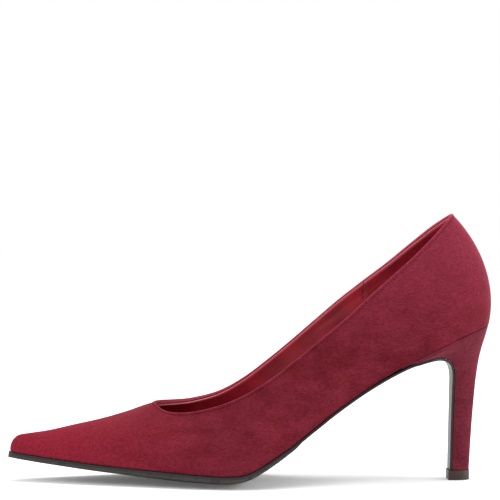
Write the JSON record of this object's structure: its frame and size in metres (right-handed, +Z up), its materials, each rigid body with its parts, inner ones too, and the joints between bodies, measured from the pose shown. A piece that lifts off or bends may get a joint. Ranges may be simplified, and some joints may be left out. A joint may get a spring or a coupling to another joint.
{
  "type": "high heel pump",
  "caption": "Pointed slip-on pump with a suede upper, leather lining and sole, a rubber forepart tread and a slim covered high heel.",
  "frame": {"origin": "centre of the bounding box in plan, on the ground plane that the tread and the top lift stand on", "axes": "+X from the toe to the heel, +Y to the inner side of the foot, +Z up"},
  "size_m": [0.251, 0.0798, 0.1382],
  "materials": {
    "upper_suede": "brushed red suede, matt",
    "topline_tape": "woven tape",
    "stitching_thread": "polyester thread",
    "stiffener_board": "thermoplastic sheet",
    "lining_leather": "smooth semi-gloss",
    "insole_fibreboard": "cellulose board",
    "cushion_foam": "open-cell foam",
    "insock_leather": "smooth",
    "shank_steel": "rolled strip",
    "filler_cork": "pressed cork",
    "heel_plastic": "moulded",
    "heel_steel": "drawn tube",
    "sole_leather": "glossy dark brown",
    "tread_rubber": "matt, finely textured",
    "lift_plastic": "moulded polyurethane"
  },
  "bodies": {
    "root": {"suede_upper": "upper_suede", "topline_tape": "topline_tape", "topline_thread": "stitching_thread", "toe_puff": "stiffener_board", "heel_counter": "stiffener_board", "vamp_lining": "lining_leather", "quarter_lining": "lining_leather", "lining_seam_thread_outer": "stitching_thread", "lining_seam_thread_inner": "stitching_thread", "insole_board": "insole_fibreboard", "heel_cushion": "cushion_foam", "toe_cushion": "cushion_foam", "insock": "insock_leather", "steel_shank": "shank_steel", "shank_rivet_front": "shank_steel", "shank_rivet_back": "shank_steel", "bottom_filler": "filler_cork", "heel_block": "heel_plastic", "heel_cover": "upper_suede", "heel_tube": "heel_steel", "heel_screw": "heel_steel", "heel_nail_1": "heel_steel", "heel_nail_2": "heel_steel", "heel_nail_3": "heel_steel", "heel_nail_4": "heel_steel", "leather_sole": "sole_leather", "rubber_tread": "tread_rubber", "top_lift": "lift_plastic", "top_lift_pin": "heel_steel"}
  },
  "joints": []
}
